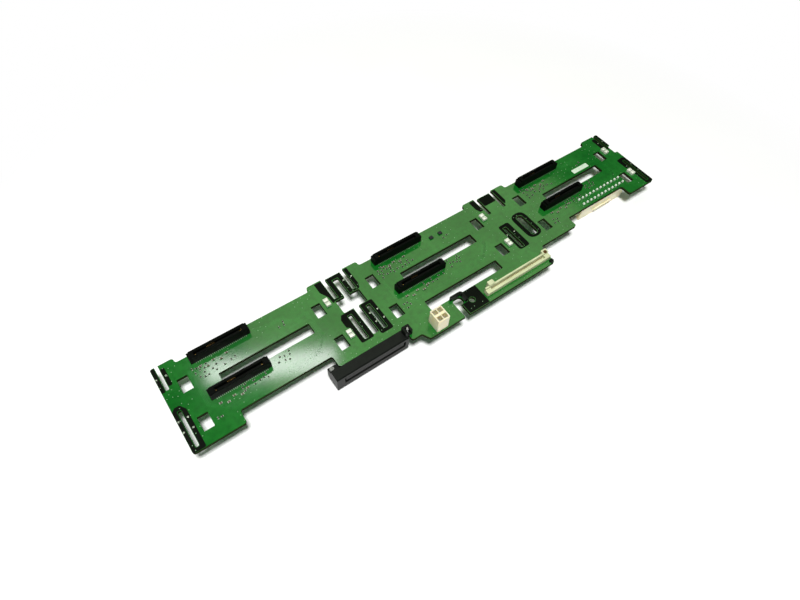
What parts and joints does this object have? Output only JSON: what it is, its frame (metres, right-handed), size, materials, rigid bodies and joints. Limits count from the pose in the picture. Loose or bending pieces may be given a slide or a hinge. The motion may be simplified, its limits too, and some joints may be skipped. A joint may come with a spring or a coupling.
{
  "type": "drive backplane board",
  "caption": "Green circuit board for a server drive cage: black drive receptacles in two rows, air slots, cable and power headers, and a right-angle edge connector.",
  "frame": {"origin": "centre of the screw hole, at the drive side's surface", "axes": "+X along the board, +Y across it towards the upper row of drives, +Z out of the board towards the drives"},
  "size_m": [0.413, 0.083, 0.028],
  "materials": {
    "solder_mask": "green solder mask over glass-epoxy laminate",
    "black_moulding": "satin black moulding",
    "ivory_moulding": "satin ivory moulding",
    "natural_nylon": "natural nylon, slightly translucent",
    "gold_plate": "thin gold over nickel",
    "tin_plate": "matte tin",
    "rivet_brass": "dull brass",
    "lamp_body": "clear lamp package in a white cup",
    "chip_moulding": "moulded epoxy",
    "capacitor_ceramic": "fired ceramic with tinned ends",
    "tantalum_case": "moulded epoxy",
    "crystal_can": "satin metal can"
  },
  "bodies": {
    "root": {"circuit_board": "solder_mask", "edge_connector_housing": "black_moulding", "edge_connector_contacts": "gold_plate", "guide_block": "black_moulding", "guide_pin": "tin_plate", "hold_down_stud": "tin_plate", "front_power_housing": "natural_nylon", "front_power_pins": "tin_plate", "rear_power_housing": "natural_nylon", "rear_power_pins": "tin_plate", "cable_header_housing": "ivory_moulding", "cable_header_contacts": "gold_plate", "cable_header_rivet": "rivet_brass", "corner_peg": "black_moulding", "hook_rib": "black_moulding", "status_lamps": "lamp_body", "activity_lamps": "lamp_body", "sensor_chips": "chip_moulding", "bay_capacitors": "capacitor_ceramic", "rear_resistors": "chip_moulding", "reservoir_capacitors": "tantalum_case", "bay_controller": "chip_moulding", "controller_leads": "tin_plate", "memory_chip": "chip_moulding", "clock_crystal": "crystal_can", "drive_connector_1": "black_moulding", "drive_contacts_1": "gold_plate", "drive_connector_2": "black_moulding", "drive_contacts_2": "gold_plate", "drive_connector_3": "black_moulding", "drive_contacts_3": "gold_plate", "drive_connector_4": "black_moulding", "drive_contacts_4": "gold_plate", "drive_connector_5": "black_moulding", "drive_contacts_5": "gold_plate", "drive_connector_6": "black_moulding", "drive_contacts_6": "gold_plate"}
  },
  "joints": []
}
